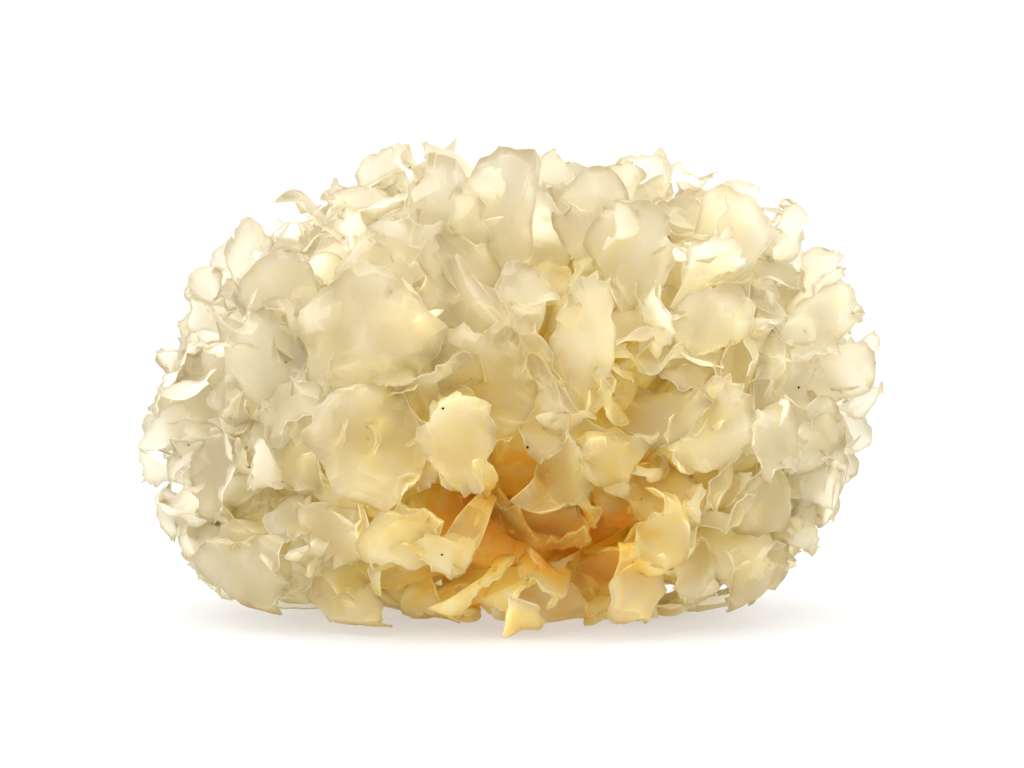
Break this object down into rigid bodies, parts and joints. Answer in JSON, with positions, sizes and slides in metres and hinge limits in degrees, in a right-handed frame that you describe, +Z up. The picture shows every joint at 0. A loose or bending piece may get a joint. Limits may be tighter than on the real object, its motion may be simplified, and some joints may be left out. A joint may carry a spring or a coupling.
{
  "type": "snow fungus",
  "caption": "Dried snow fungus head: thin, ruffled, lobed fronds spread into a rounded head from a knobbly amber base that is cut off flat to stand on.",
  "frame": {"origin": "middle of the bounding box along X and Y, at the height of the flat cut that the head stands on", "axes": "+Z up out of the cut; +X along the longest side; the picture looks along +Y"},
  "size_m": [0.1598, 0.1151, 0.1077],
  "materials": {
    "base": "satin, waxy, deep amber",
    "frond": "dry, horny, translucent cream to straw"
  },
  "bodies": {
    "root": {"base": "base", "frond_01": "frond", "frond_02": "frond", "frond_03": "frond", "frond_04": "frond", "frond_05": "frond", "frond_06": "frond", "frond_07": "frond", "frond_08": "frond", "frond_09": "frond", "frond_10": "frond", "frond_11": "frond", "frond_12": "frond", "frond_13": "frond", "frond_14": "frond", "frond_15": "frond", "frond_16": "frond", "frond_17": "frond", "frond_18": "frond", "frond_19": "frond", "frond_20": "frond", "frond_21": "frond", "frond_22": "frond", "frond_23": "frond", "frond_24": "frond", "frond_25": "frond", "frond_26": "frond", "frond_27": "frond", "frond_28": "frond", "frond_29": "frond", "frond_30": "frond", "frond_31": "frond", "frond_32": "frond", "frond_33": "frond", "frond_34": "frond", "frond_35": "frond", "frond_36": "frond", "frond_37": "frond", "frond_38": "frond", "frond_39": "frond", "frond_40": "frond", "frond_41": "frond", "frond_42": "frond", "frond_43": "frond", "frond_44": "frond", "frond_45": "frond", "frond_46": "frond", "frond_47": "frond", "frond_48": "frond", "frond_49": "frond"}
  },
  "joints": []
}
